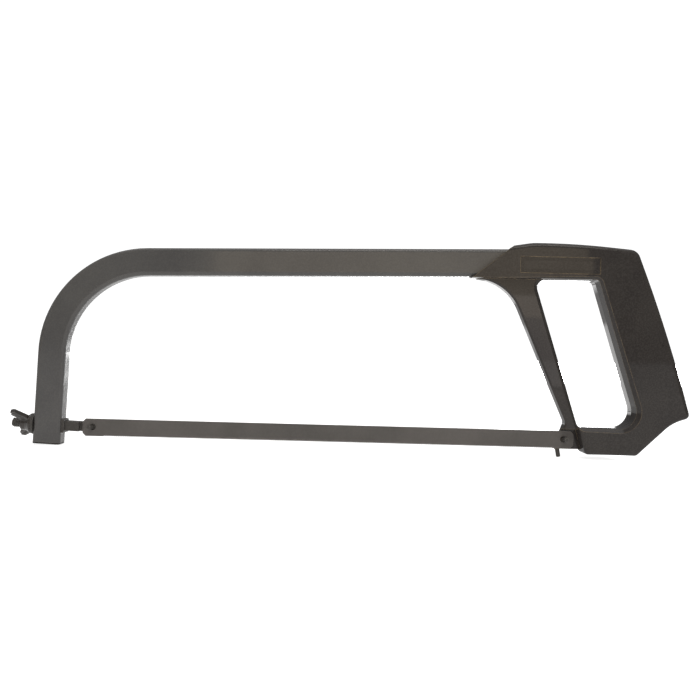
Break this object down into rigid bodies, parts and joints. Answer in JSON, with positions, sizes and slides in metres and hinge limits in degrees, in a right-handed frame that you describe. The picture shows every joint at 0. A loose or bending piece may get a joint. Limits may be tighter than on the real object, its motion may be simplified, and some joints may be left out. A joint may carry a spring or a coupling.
{
  "type": "hacksaw",
  "caption": "Hand hacksaw with a bent tube bow, a cast closed handle, a wing nut that tensions the blade and a spare peg for flush cuts.",
  "frame": {"origin": "middle of the saw's length and thickness, level with its lowest point, the tip of the flush-cut peg", "axes": "+X from the wing nut to the handle, +Y away from the side the blade is loaded from, +Z from the teeth to the top bar"},
  "size_m": [0.4272, 0.023, 0.1355],
  "materials": {
    "bow_paint": "satin paint",
    "casting_paint": "satin paint on a die casting",
    "blade_paint": "thin satin paint",
    "dark_steel": "dark phosphate",
    "pin_steel": "oiled steel",
    "nut_finish": "satin dark coating",
    "cap_plastic": "matte"
  },
  "bodies": {
    "saw": {"frame_tube": "bow_paint", "arm_end_plug": "cap_plastic", "stud_bush": "dark_steel", "wing_washer": "dark_steel", "handle_casting": "casting_paint", "rear_peg": "pin_steel", "flush_cut_peg": "pin_steel", "handle_screw": "pin_steel"},
    "nut": {"wing_nut": "nut_finish"},
    "stud": {"tension_stud": "dark_steel", "front_peg": "pin_steel"},
    "strip": {"blade": "blade_paint"}
  },
  "joints": [
    {"name": "wing_nut_turn", "type": "hinge", "parent": "saw", "child": "nut", "pos_m": [-0.19874, 0, 0.01293], "axis": [-0.9993, 0, 0.0366], "range_deg": [0, 2160]},
    {"name": "stud_slide", "type": "slide", "parent": "saw", "child": "stud", "axis": [0.9993, 0, -0.0366], "range_m": [0, 0.0061]},
    {"name": "blade_release", "type": "slide", "parent": "saw", "child": "strip", "axis": [0.1736, -0.9848, 0], "range_m": [0, 0.0174]}
  ],
  "couplings": [
    {"joint": "stud_slide", "follows": "wing_nut_turn", "m_per_rad": 0.00015915},
    {"joint": "blade_release", "follows": "wing_nut_turn", "m_per_rad": 0.00045827}
  ]
}
